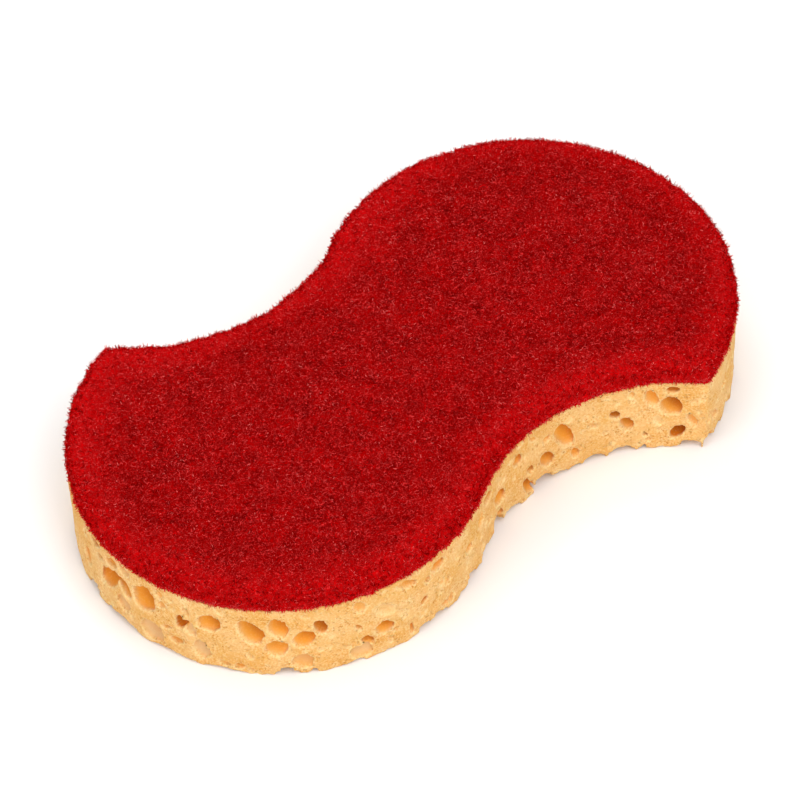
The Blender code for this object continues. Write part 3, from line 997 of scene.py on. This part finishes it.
@dataclass
class CelluloseBlock:
    """The sponge block, an S-shaped slab with pores of all sizes open on its wall and base."""

    outline: SOutline
    finish: CelluloseFinish
    plan: PorePlan
    thickness: float = 0.01955
    spacing: float = 0.00036
    triangles: int = 198_000
    edge_round: float = 0.0006
    lip_round: float = 0.0003
    pore_waver: float = 0.20
    margin: float = 0.0014
    tear_reach: float = 0.0105
    tear_depth: float = 2.2
    tear_least: float = 0.0004
    tear_chunks: int = 40
    rough: tuple[Noise, ...] = (Noise(0.00016, 0.006, 1), Noise(0.00013, 0.0017, 2))
    waver: tuple[Noise, ...] = (Noise(1.0, 0.0030, 5), Noise(0.4, 0.0014, 6))
    pitting: Noise = Noise(1.0, 0.0010, 3)
    pitting_from: float = 0.25
    pitting_depth: float = 0.00035
    pore_reach: float = 0.0005
    pore_room: float = 1.25
    lip_round_most: float = 0.6

    # The painted highlight round a mouth, a pale line: how far outside the pore it runs, half its width,
    # and the depth over which it fades.
    lip_offset: float = 0.00012
    lip_width: float = 0.00032
    lip_depth: float = 0.00035
    torn_share: float = 0.35

    def build(self) -> None:
        """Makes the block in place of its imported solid, dressed."""
        layers = math.ceil((self.thickness + self.margin) / self.spacing) + 0.5
        low, high = self.thickness - layers * self.spacing, self.thickness + 2 * self.spacing
        lattice = Lattice(self.outline.points(), self.margin, low, high, self.spacing, np.float32)
        held, owner, nearest, pores = self._field(lattice)
        net, faces = largest_part(*lattice.net(held, self.thickness))
        LOG.info("cellulose: %d pores, %d faces before thinning", len(pores), len(faces))
        piece = add_piece("cellulose_block", net, [faces])
        close_lid(piece)
        thin_out(piece, self.triangles)
        self._mark(piece, lattice, owner, nearest, pores)
        piece.data.materials.append(self.finish.material())
        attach(piece, BODY)
        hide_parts("cellulose_sponge")

    def _field(self, lattice: Lattice) -> tuple[Floats, NDArray[np.int16], Floats, list[Pore]]:
        """The block's field, and which pore each place is nearest to.

        The slab is the largest of three fields: how far outside the outline, below the base and
        above the top a place is, with a little noise on the first two. Each pore's field is (the
        length of its own coordinates - 1) * its mean radius, with noise in proportion, and is taken
        out by a rounded largest-of with its sign turned. The length is that of some power, which
        makes the mouth more or less square.

        Args:
            lattice: the lattice, with the top midway between two of its layers.

        Returns:
            The field, an array of pore numbers with -1 for none, the nearest pore's field, and the
            pores.
        """
        plain = Wall(self.outline.points())
        coarse = Wall(self.outline.points(1))
        pores = self.plan.near(plain)
        pores += self.plan.scattered(coarse, self.outline)
        pores += self.plan.middling(plain, self.thickness, pores)
        pores += self.plan.fine(plain, self.outline, self.thickness, pores)

        heights = lattice.axes[2].astype(np.float32)
        rough = lattice.noise(*self.rough)
        pitted = self.pitting_depth * np.clip(lattice.noise(self.pitting) - self.pitting_from, 0, None)
        torn = self._torn_base(lattice, plain)[:, :, None]
        held = soft_max(lattice.flat[:, :, None] + rough, torn + rough - heights, self.edge_round) + pitted
        waver = lattice.noise(*self.waver)
        owner = np.full(lattice.shape, -1, np.int16)
        nearest = np.full(lattice.shape, self.pore_reach, np.float32)
        for number, pore in enumerate(pores):
            centre, turn, size = pore.local()
            reach = max(pore.width, pore.tall, pore.depth) * self.pore_room + self.lip_round
            here = lattice.around(centre, reach)
            grid = np.meshgrid(*(lattice.axes[i][here[i]] - centre[i] for i in range(3)), indexing="ij")
            local = np.abs(np.tensordot(turn, np.array(grid), axes=1))
            length = (local**pore.power).sum(axis=0) ** (1 / pore.power)
            pit = (length - 1) * size + waver[here] * size * self.pore_waver
            held[here] = soft_max(held[here], -pit, min(self.lip_round, size * self.lip_round_most))
            closer = pit < nearest[here]
            nearest[here] = np.where(closer, pit, nearest[here])
            owner[here] = np.where(closer, number, owner[here])
        return np.maximum(held, heights - self.thickness), owner, nearest, pores

    def _torn_base(self, lattice: Lattice, wall: Wall) -> Floats:
        """The height of the base over the lattice's floor, which is above 0 where the edge is torn.

        A tear as high as h at the wall is h sqrt(1 - (d / D)^2) high at a distance d inside it, with
        D a little over twice h.

        Args:
            lattice: the lattice.
            wall: the wall that the tears run along.

        Returns:
            A 2-D array.
        """
        flat = lattice.flat
        base = np.zeros(flat.shape, np.float32)
        near = np.argwhere((flat > -self.tear_reach) & (flat < 0.001))
        spots = lattice.low[:2] + near * lattice.spacing
        along = np.empty(len(spots))
        for chunk in np.array_split(np.arange(len(spots)), self.tear_chunks):
            gaps = ((spots[chunk, None] - wall.points[None, :-1]) ** 2).sum(axis=2)
            along[chunk] = wall.marks[gaps.argmin(axis=1)]
        high = self.plan.torn_edge(wall, along)
        inside = -flat[tuple(near.T)]
        share = np.clip(inside, 0, None) / (self.tear_depth * high + self.tear_least)
        base[tuple(near.T)] = high * np.sqrt(np.clip(1 - share**2, 0, None))
        return base

    def _mark(
        self,
        piece: bpy.types.Object,
        lattice: Lattice,
        owner: NDArray[np.int16],
        nearest: Floats,
        pores: Sequence[Pore],
    ) -> None:
        """Stores each point's depth under the slab's faces, nearness to a lip, for the painted highlight
        there, and pore's paleness.

        Where the base is torn, with no pore, a third of the depth counts towards the painted shade.

        Args:
            piece: the block.
            lattice: the lattice.
            owner: the number of each place's pore, or -1.
            nearest: the nearest pore's field.
            pores: the pores.
        """
        points = points_of(piece)
        depth = np.minimum(-lattice.sample(lattice.flat, points), points[:, 2])
        depth = np.where(points[:, 2] > self.thickness - self.spacing, 0, np.clip(depth, 0, None))
        in_pore = lattice.sample((owner >= 0).astype(np.float32), points)
        depth *= self.torn_share + (1 - self.torn_share) * in_pore
        hold(piece, "pit", depth)
        rim = 1 - np.abs(lattice.sample(nearest, points) - self.lip_offset) / self.lip_width
        hold(piece, "lip", np.clip(rim, 0, 1) * np.clip(2 - depth / self.lip_depth, 0, 1))
        paleness = np.array([pore.pale for pore in pores] + [0.0])
        hold(piece, "pale", lattice.sample(paleness[owner].astype(np.float32), points))


def largest_part(points: Floats, faces: Whole) -> tuple[Floats, Whole]:
    """The biggest joined part of a mesh, without loose points.

    Each point takes the lowest label among those it shares a face with, then that label's own
    label, until nothing changes.

    Args:
        points: an (n, 3) array.
        faces: an (m, k) array of their numbers.

    Returns:
        Both for that part alone.
    """
    label = np.arange(len(points))
    while True:
        fresh = label.copy()
        np.minimum.at(fresh, faces.ravel(), np.repeat(label[faces].min(axis=1), faces.shape[1]))
        fresh = fresh[fresh]
        if np.array_equal(fresh, label):
            break
        label = fresh
    biggest = np.bincount(label[faces[:, 0]]).argmax()
    faces = faces[label[faces[:, 0]] == biggest]
    used, renumbered = np.unique(faces, return_inverse=True)
    return points[used], renumbered.reshape(faces.shape)


class FibreTone(Enum):
    """The reds of the pad's fibres. The darkest is painted shade, the pale pink one a painted highlight and
    the palest a painted glint, and the larger share of the brighter reds at the edge is partly painted
    light.

    Each has a linear colour, its share of the fibres in the middle and at the edge, and its fibres'
    length as a share of the usual.
    """

    SHADED = ((0.20, 0.0003, 0.0004), 0.21, 0.06, 1.0)
    DEEP = ((0.34, 0.0004, 0.0006), 0.23, 0.15, 1.0)
    MIDDLE = ((0.50, 0.0010, 0.0016), 0.21, 0.26, 1.0)
    VIVID = ((0.72, 0.0030, 0.0046), 0.09, 0.33, 1.0)
    # Painted highlight: pink fibres, a red with white reflection in it.
    BRIGHT = ((0.78, 0.0400, 0.0410), 0.21, 0.17, 0.75)
    GLINT = ((0.95, 0.1500, 0.1400), 0.05, 0.03, 0.4)

    @property
    def colour(self) -> tuple[float, ...]:
        """The tone's linear colour."""
        return self.value[0]

    @property
    def length(self) -> float:
        """Its fibres' length, as a share of the usual."""
        return self.value[3]


@dataclass(frozen=True)
class PadFinish:
    """Crimped fibre bound with red resin: one material for the mass of it, one for each tone."""

    # The mass's reds are darker than most fibres', as painted shade in the depth of the mat between them,
    # with a tone that varies.
    dark: tuple[float, ...] = rgba(0.18, 0.0003, 0.0004)
    light: tuple[float, ...] = rgba(0.38, 0.0004, 0.0006)
    # The brighter edge band: partly a pressed, denser edge, partly painted light on the shoulder.
    rim: tuple[float, ...] = rgba(0.60, 0.0020, 0.0030)
    # Painted highlight: the pale pink of the buried fibres' paths and the glints on the mass.
    strand: tuple[float, ...] = rgba(0.78, 0.0300, 0.0310)

    # Sizes in metres of the mass's patterns, and half the width of its lines in the noise's units.
    cloud: float = 0.004
    grain: float = 0.00038
    strand_grains: tuple[float, float] = (0.0008, 0.0006)
    strand_offset: tuple[float, float, float] = (0.05, 0.02, 0.01)
    strand_width: float = 0.045
    fleck_cell: float = 0.00085
    bump_height: float = 0.0002

    def body(self) -> bpy.types.Material:
        """The material of the mass under the fibres, with the paths of buried ones on it in a painted
        pinkish highlight, and painted glints among them.
        """
        graph = Graph.of_material("scouring_body")
        clouds = graph.noise(self.cloud, 3.0).rise(0.34, 0.66)
        grain = graph.noise(self.grain).rise(0.38, 0.62)
        wide, narrow = self.strand_grains
        lines = self._lines(graph, wide, (0, 0, 0)).larger(self._lines(graph, narrow, self.strand_offset))
        glint_flecks = 1 - graph.specks(self.fleck_cell).rise(0.10, 0.24)
        colour = graph.mix(clouds * 0.6 + grain * 0.4, self.dark, self.light)
        # Brighter towards the edge: partly pressed denser, partly painted light on the rounded shoulder.
        colour = graph.mix(graph.attribute("edge"), colour, self.rim)
        # Painted highlight and glints: the buried fibres' paths and small dots in a pale pink red.
        colour = graph.mix(lines.larger(glint_flecks) * 0.8, colour, self.strand)
        normal = graph.bump(lines, self.bump_height)
        return graph.finish(Base_Color=colour, Roughness=0.8, Specular_IOR_Level=0.0, Normal=normal)

    def fibre(self, tone: FibreTone) -> bpy.types.Material:
        """The material of the fibres that have this tone."""
        gloss = 0.2 if tone in (FibreTone.BRIGHT, FibreTone.GLINT) else 0.0
        graph = Graph.of_material(f"scouring_fibre_{tone.name.lower()}")
        return graph.finish(Base_Color=rgba(*tone.colour), Roughness=0.5, Specular_IOR_Level=gloss)

    def _lines(self, graph: Graph, grain: float, offset: Sequence[float]) -> Wire:
        """Thin curved lines, where noise passes through its middle value."""
        return 1 - abs(graph.noise(grain, 1.0, offset) - 0.5).rise(0.0, self.strand_width)


@dataclass
class ScouringPad:
    """The mat of crimped fibres on the block: a lumpy mass with a brighter edge, partly pressed denser and
    partly painted light, and fibres on it.
    """

    outline: SOutline
    finish: PadFinish
    bottom: float = 0.0196
    thickness: float = 0.0057
    shoulder: float = 0.0024
    inset: float = 0.00030
    spacing: float = 0.00042
    triangles: int = 60_000
    margin: float = 0.0016
    lumps: tuple[Noise, ...] = (
        Noise(0.00022, 0.008, 21),
        Noise(0.00016, 0.0026, 22),
        Noise(0.00012, 0.0012, 23),
    )
    ragged: Noise = Noise(0.00027, 0.0013, 24)
    drift: Noise = Noise(1.0, 0.0045, 31)
    drift_share: float = 0.12

    # The brighter band along the edge, partly a pressed, denser edge and partly painted light where the
    # rounded shoulder catches it, and the places where it is up to twice as wide, also painted light.
    band: float = 0.008
    band_power: float = 1.3
    wide_places: tuple[tuple[float, float], ...] = ((-0.053, 0.035), (0.014, 0.038))
    wide_reach: float = 0.022

    # Fibres that lie on the mass.
    fibre_count: int = 22_000
    fibre_steps: int = 4
    step_length: float = 0.00038
    paces: tuple[float, float] = (0.45, 1.3)
    fibre_radius: float = 0.000058
    radius_shares: tuple[float, float] = (0.7, 1.25)
    end_share: float = 0.55
    clear_of_base: float = 0.0002
    shift: float = 2e-4
    curl: float = 0.6
    lift: tuple[float, float] = (-0.00006, 0.00028)
    weave: float = 0.00013

    # Fuzz that stands up near the edge and a fringe that hangs out below it. Each longest is half
    # the length of the longest fibre, and the odds are those of the first four tones. The leans and
    # the bend are in radians from the way out.
    stout: float = 1.5
    root: float = 0.0001
    leans: tuple[float, float] = (0.1, 1.2)
    bend: float = 0.5
    reaches: tuple[float, float] = (0.3, 1)
    fuzz_count: int = 5_500
    fuzz_band: float = 0.0024
    fuzz_above: float = 0.002
    fuzz_longest: float = 0.00062
    fuzz_odds: tuple[float, ...] = (0.12, 0.22, 0.33, 0.33)
    fringe_count: int = 5_000
    fringe_band: float = 0.0009
    fringe_longest: float = 0.00046
    fringe_droop: float = 0.5
    seed: int = 11

    def build(self) -> None:
        """Makes the mass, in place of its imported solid, and the fibres on it, dressed."""
        low, high = self.bottom - 2.5 * self.spacing, self.bottom + self.thickness + self.margin
        lattice = Lattice(self.outline.points(), self.margin, low, high, self.spacing)
        shape = self._shape(lattice)
        cut = np.maximum(shape, self.bottom - lattice.axes[2])
        net, faces = largest_part(*lattice.net(cut, self.bottom))
        mass = add_piece("scouring_mass", net, [faces])
        close_lid(mass)
        thin_out(mass, self.triangles)
        hold(mass, "edge", self._edge(lattice, points_of(mass)))
        mass.data.materials.append(self.finish.body())
        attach(mass, BODY)
        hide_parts("scouring_pad")
        self._fibres(lattice, shape, net)

    def _shape(self, lattice: Lattice) -> Floats:
        """The mass's field, without its bottom.

        With s how far outside the outline and t how far above the top a place is, each with noise
        and moved by the shoulder's radius R, it is the length of (s, t) where both are above 0,
        else the larger of them, less R.

        Args:
            lattice: the lattice.

        Returns:
            An array over it.
        """
        lumps = lattice.noise(*self.lumps)
        top = self.bottom + self.thickness - self.inset
        inset = self.inset * np.clip((lattice.axes[2] - self.bottom) / self.shoulder, 0.5, 1)
        side = lattice.flat[:, :, None] + inset + lumps + lattice.noise(self.ragged) + self.shoulder
        rise = lattice.axes[2] - top + lumps + self.shoulder
        corner = np.hypot(np.clip(side, 0, None), np.clip(rise, 0, None))
        return corner + np.minimum(np.maximum(side, rise), 0) - self.shoulder

    def _fibres(self, lattice: Lattice, shape: Floats, net: Floats) -> None:
        """Makes the fibres that lie on the mass and those that stand out from it, a piece to a tone.

        Args:
            lattice: the lattice.
            shape: the mass's field.
            net: points all over the mass, for the fibres to start from.
        """
        rng = np.random.default_rng(self.seed)
        ground = Ground(lattice, shape)
        seeds = net[net[:, 2] > self.bottom + self.clear_of_base]
        starts = seeds[rng.integers(0, len(seeds), self.fibre_count)]
        names = self._tones(starts, lattice, rng)
        share = np.array([FibreTone[name].length for name in names])
        lying = self._lying(ground, starts + rng.uniform(-self.shift, self.shift, starts.shape), share, rng)
        rim = seeds[lattice.sample(lattice.flat, seeds) > -self.fuzz_band]
        rim = rim[rim[:, 2] > self.bottom + self.fuzz_above]
        rim = rim[rng.integers(0, len(rim), self.fuzz_count)]
        fuzz = self._standing(ground, rim, self.fuzz_longest, 0.0, rng)
        low = seeds[seeds[:, 2] < self.bottom + self.fringe_band]
        low = low[rng.integers(0, len(low), self.fringe_count)]
        fringe = self._standing(ground, low, self.fringe_longest, self.fringe_droop, rng)
        standing = np.concatenate([fuzz, fringe])
        bodies = [
            tubes(lying, self._radii(lying, rng)),
            tubes(standing, self.stout * self._radii(standing, rng)),
        ]
        fuzz_tones = [tone.name for tone in FibreTone][: len(self.fuzz_odds)]
        fringe_tones = [FibreTone.VIVID.name, FibreTone.BRIGHT.name]
        fuzz_names = rng.choice(fuzz_tones, len(fuzz), p=self.fuzz_odds)
        tones = [names, np.concatenate([fuzz_names, rng.choice(fringe_tones, len(fringe))])]
        for tone in FibreTone:
            chosen = [pick_tubes(body, number == tone.name) for body, number in zip(bodies, tones)]
            start = len(chosen[0][0])
            places = np.concatenate([chosen[0][0], chosen[1][0]])
            faces = [*chosen[0][1], *(block + start for block in chosen[1][1])]
            piece = add_piece(f"scouring_fibres_{tone.name.lower()}", places, faces)
            piece.data.materials.append(self.finish.fibre(tone))
            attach(piece, BODY)

    def _lying(self, ground: Ground, starts: Floats, share: Floats, rng: np.random.Generator) -> Floats:
        """Paths that wander over the mass, weaving over and under each other.

        Args:
            ground: the mass's surface.
            starts: where they start.
            share: each one's length, as a share of the usual.
            rng: the source of chance.

        Returns:
            An (n, k, 3) array of paths.
        """
        count = len(starts)
        curl = rng.normal(0, self.curl, count)
        lift = rng.uniform(*self.lift, count)
        pace = self.step_length * (share * rng.uniform(*self.paces, count))[:, None]
        place = starts
        way = ground.tangent(place, rng.normal(size=(count, 3)))
        path = []
        for _ in range(self.fibre_steps + 1):
            height = lift + rng.normal(0, self.weave, count)
            place = ground.settle(place, height)
            path.append(place)
            way = ground.turn(place, way, curl + rng.normal(0, self.curl, count))
            place = place + way * pace
        return np.stack(path, axis=1)

    def _standing(
        self, ground: Ground, starts: Floats, longest: float, droop: float, rng: np.random.Generator
    ) -> Floats:
        """Short paths that leave the mass at a slant.

        Args:
            ground: the mass's surface.
            starts: where they leave it.
            longest: half the length of the longest.
            droop: how much they hang, as a share of the way out.
            rng: the source of chance.

        Returns:
            An (n, 3, 3) array of paths.
        """
        count = len(starts)
        out = ground.normal(starts) - np.array((0, 0, droop))
        out /= np.linalg.norm(out, axis=1, keepdims=True)
        way = ground.tangent(starts, rng.normal(size=(count, 3)))
        lean = rng.uniform(*self.leans, count)[:, None]
        reach = longest * rng.uniform(*self.reaches, count)[:, None]
        first = starts - out * self.root
        middle = first + (out * np.cos(lean) + way * np.sin(lean)) * reach
        bent = lean + rng.normal(0, self.bend, count)[:, None]
        last = middle + (out * np.cos(bent) + way * np.sin(bent)) * reach
        return np.stack([first, middle, last], axis=1)

    def _radii(self, paths: Floats, rng: np.random.Generator) -> Floats:
        """Each fibre's radius along its path, less at its ends.

        Args:
            paths: an (n, k, 3) array.
            rng: the source of chance.

        Returns:
            An (n, k) array.
        """
        radii = self.fibre_radius * rng.uniform(*self.radius_shares, len(paths))[:, None]
        ends = np.ones(paths.shape[1])
        ends[[0, -1]] = self.end_share
        return radii * ends

    def _edge(self, lattice: Lattice, places: Floats) -> Floats:
        """How near the pad's edge places are, from 0 where the brighter band, partly pressed and partly
        painted light, ends to 1.

        Args:
            lattice: the lattice.
            places: an (n, 3) array.

        Returns:
            An (n,) array.
        """
        wider = np.zeros(len(places))
        for spot in self.wide_places:
            away = np.hypot(*(places[:, :2] - spot).T)
            wider = np.maximum(wider, np.clip(1.4 - away / self.wide_reach, 0, 1))
        width = self.band * (1 + wider)
        return np.clip(1 + lattice.sample(lattice.flat, places) / width, 0, 1) ** self.band_power

    def _tones(self, places: Floats, lattice: Lattice, rng: np.random.Generator) -> NDArray[np.str_]:
        """The tone of each fibre, drawn by the shares for its place, with neighbours somewhat alike.

        Args:
            places: where the fibres start.
            lattice: the lattice.
            rng: the source of chance.

        Returns:
            An (n,) array of the tones' names.
        """
        drift = lattice.sample(lattice.noise(self.drift), places)
        edge = self._edge(lattice, places)[:, None]
        score = np.clip(rng.uniform(0, 1, len(places)) + self.drift_share * drift, 0, 0.999)
        middle, rim = (np.cumsum([tone.value[i] for tone in FibreTone]) for i in (1, 2))
        number = (score[:, None] > middle + (rim - middle) * edge).sum(axis=1)
        return np.array([tone.name for tone in FibreTone])[np.clip(number, 0, len(FibreTone) - 1)]


class Ground:
    """A surface that paths are laid over, given by a field and its slopes on a lattice."""

    def __init__(self, lattice: Lattice, values: Floats) -> None:
        """Works out the field's slopes."""
        self.lattice = lattice
        self.values = values
        self.slopes = np.gradient(values, lattice.spacing)

    def normal(self, places: Floats) -> Floats:
        """Unit vectors out of the surface at these places."""
        slope = np.stack([self.lattice.sample(s, places) for s in self.slopes], axis=1)
        return slope / np.linalg.norm(slope, axis=1, keepdims=True)

    def tangent(self, places: Floats, ways: Floats) -> Floats:
        """The unit vectors along the surface that are nearest to these.

        Args:
            places: an (n, 3) array of places on the surface.
            ways: an (n, 3) array of vectors.

        Returns:
            An (n, 3) array.
        """
        out = self.normal(places)
        flat = ways - out * (ways * out).sum(axis=1, keepdims=True)
        return flat / np.linalg.norm(flat, axis=1, keepdims=True)

    def turn(self, places: Floats, ways: Floats, angles: Floats) -> Floats:
        """Ways along the surface, turned about the way out of it.

        Args:
            places: an (n, 3) array of places on it.
            ways: the ways at them, which are first laid along the surface.
            angles: how far to turn each one.

        Returns:
            An (n, 3) array of unit vectors.
        """
        out = self.normal(places)
        way = self.tangent(places, ways)
        cos, sin = np.cos(angles)[:, None], np.sin(angles)[:, None]
        return way * cos + np.cross(out, way) * sin

    def settle(self, places: Floats, heights: Floats) -> Floats:
        """The places moved along the way out to these heights over the surface.

        Args:
            places: an (n, 3) array.
            heights: an (n,) array.

        Returns:
            An (n, 3) array.
        """
        for _ in range(2):
            error = self.lattice.sample(self.values, places) - heights
            places = places - self.normal(places) * error[:, None]
        return places


def tubes(paths: Floats, radii: Floats) -> tuple[Floats, list[Whole]]:
    """Three-sided closed tubes.

    At each point of a path, with t the way along it and s and u square to t and each other, the
    corners are at p + r (cos a s + sin a u) for a of 0, 120 and 240 degrees.

    Args:
        paths: an (n, k, 3) array.
        radii: an (n, k) array.

    Returns:
        An (n, 3 k, 3) array of corners, and the faces of one tube: sides, then ends.
    """
    along = np.gradient(paths, axis=1)
    along /= np.linalg.norm(along, axis=2, keepdims=True)
    side = np.cross(along, (0.31, 0.47, 0.83))
    side /= np.linalg.norm(side, axis=2, keepdims=True)
    up = np.cross(along, side)
    angles = np.arange(3) * math.tau / 3
    ring = np.cos(angles)[:, None] * side[:, :, None] + np.sin(angles)[:, None] * up[:, :, None]
    corners = paths[:, :, None] + radii[:, :, None, None] * ring
    count = paths.shape[1]
    first = np.arange(3 * (count - 1))
    second = first - first % 3 + (first + 1) % 3
    sides = np.stack([first, second, second + 3, first + 3], axis=1)
    ends = np.array([[2, 1, 0], [3 * count - 3, 3 * count - 2, 3 * count - 1]])
    return corners.reshape(len(paths), -1, 3), [sides, ends]


def pick_tubes(body: tuple[Floats, list[Whole]], chosen: NDArray[np.bool_]) -> tuple[Floats, list[Whole]]:
    """The points and faces of the chosen tubes, as one mesh.

    Args:
        body: what tubes gives.
        chosen: whether each tube is taken.

    Returns:
        An (m, 3) array of points, and the faces.
    """
    corners, faces = body[0][chosen], body[1]
    starts = np.arange(len(corners))[:, None, None] * corners.shape[1]
    return corners.reshape(-1, 3), [(block + starts).reshape(-1, block.shape[1]) for block in faces]


def towards(azimuth: float, elevation: float) -> Vector:
    """The unit vector at an azimuth from -Y and an elevation, in degrees."""
    turn, tilt = math.radians(azimuth), math.radians(elevation)
    return Vector((math.sin(turn) * math.cos(tilt), -math.cos(turn) * math.cos(tilt), math.sin(tilt)))


@dataclass(frozen=True)
class Lamp:
    """A square soft lamp aimed at the object, at an azimuth and elevation in degrees."""

    name: str
    azimuth: float
    elevation: float
    watts: float
    width: float = 0.6
    distance: float = 1.1

    def build(self) -> None:
        """Makes the lamp."""
        data = bpy.data.lights.new(self.name, "AREA")
        data.energy = self.watts
        data.size = self.width
        lamp = bpy.data.objects.new(self.name, data)
        back = towards(self.azimuth, self.elevation)
        lamp.location = back * self.distance
        lamp.rotation_mode = "QUATERNION"
        lamp.rotation_quaternion = (-back).to_track_quat("-Z", "Y")
        bpy.context.scene.collection.objects.link(lamp)


@dataclass
class Studio:
    """The camera that the photo was taken with, as fitted to it, a white ground and soft lamps."""

    azimuth: float = -36.39
    elevation: float = 47.88
    roll: float = -2.21
    lens: float = 198.5
    sensor_width: float = 36
    clip: tuple[float, float] = (0.05, 20)
    distance: float = 0.9017
    target: tuple[float, float, float] = (-0.00265, -0.00126, 0.0140)
    floor_width: float = 6.0
    floor_grey: float = 0.9
    white_from: float = 0.20
    ambient: float = 0.45
    lamps: tuple[Lamp, ...] = (
        Lamp("key", 0, 58, 5.0),
        Lamp("front", -30, 36, 1.9),
        Lamp("fill", -85, 42, 2.6),
        Lamp("back", 160, 50, 2.9),
        Lamp("top", -40, 86, 2.3),
    )

    def build(self) -> None:
        """Makes everything round the object."""
        self._camera()
        self._floor()
        self._world()
        for lamp in self.lamps:
            lamp.build()
        bpy.context.scene.view_settings.view_transform = "Standard"

    def _camera(self) -> None:
        """Sets the camera up and makes it the scene's."""
        data = bpy.data.cameras.new("camera")
        data.lens = self.lens
        data.sensor_width = self.sensor_width
        data.clip_start, data.clip_end = self.clip
        camera = bpy.data.objects.new("camera", data)
        roll = math.radians(self.roll)
        back = towards(self.azimuth, self.elevation)
        across = Vector((0, 0, 1)).cross(back).normalized()
        up = back.cross(across)
        right = math.cos(roll) * across + math.sin(roll) * up
        above = math.cos(roll) * up - math.sin(roll) * across
        frame = Matrix((right, above, back)).transposed().to_4x4()
        frame.translation = Vector(self.target) + back * self.distance
        camera.matrix_world = frame
        bpy.context.scene.collection.objects.link(camera)
        bpy.context.scene.camera = camera

    def _floor(self) -> None:
        """Lays a plain pale floor under the object, which shows pure white away from it."""
        half = self.floor_width / 2
        corners = np.array([(-half, -half, 0), (half, -half, 0), (half, half, 0), (-half, half, 0)], float)
        floor = add_piece("floor", corners, [np.array([[0, 1, 2, 3]])], smooth=False)
        graph = Graph.of_material("floor")
        near = graph.node("ShaderNodeBsdfDiffuse", {}, {"Color": rgba(*[self.floor_grey] * 3)})
        far = graph.node("ShaderNodeEmission", {}, {"Color": rgba(1, 1, 1), "Strength": 1.0})
        seen = graph.node("ShaderNodeLightPath", {}, {}, "Is Camera Ray")
        away = graph.node("ShaderNodeVectorMath", {"operation": "LENGTH"}, {0: graph.place()}, "Value")
        share = away.rise(self.white_from, 2 * self.white_from) * seen
        graph.end(graph.node("ShaderNodeMixShader", {}, {0: share, 1: near, 2: far}))
        floor.data.materials.append(graph.owner)

    def _world(self) -> None:
        """Surrounds the scene with white, which lights it less than it shows."""
        graph = Graph(bpy.data.worlds.new("surroundings"))
        seen = graph.node("ShaderNodeLightPath", {}, {}, "Is Camera Ray")
        limits = {"Value": seen, "To Min": self.ambient, "To Max": 1.0}
        strength = graph.node("ShaderNodeMapRange", {}, limits)
        graph.end(graph.node("ShaderNodeBackground", {}, {"Color": rgba(1, 1, 1), "Strength": strength}))
        bpy.context.scene.world = graph.owner


def main() -> None:
    """Builds the scene."""
    logging.basicConfig(level=logging.INFO, format="%(message)s")
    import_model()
    outline = SOutline()
    CelluloseBlock(outline, CelluloseFinish(), PorePlan()).build()
    LOG.info("cellulose block built")
    ScouringPad(outline, PadFinish()).build()
    LOG.info("scouring pad built")
    Studio().build()


if __name__ == "__main__":
    main()
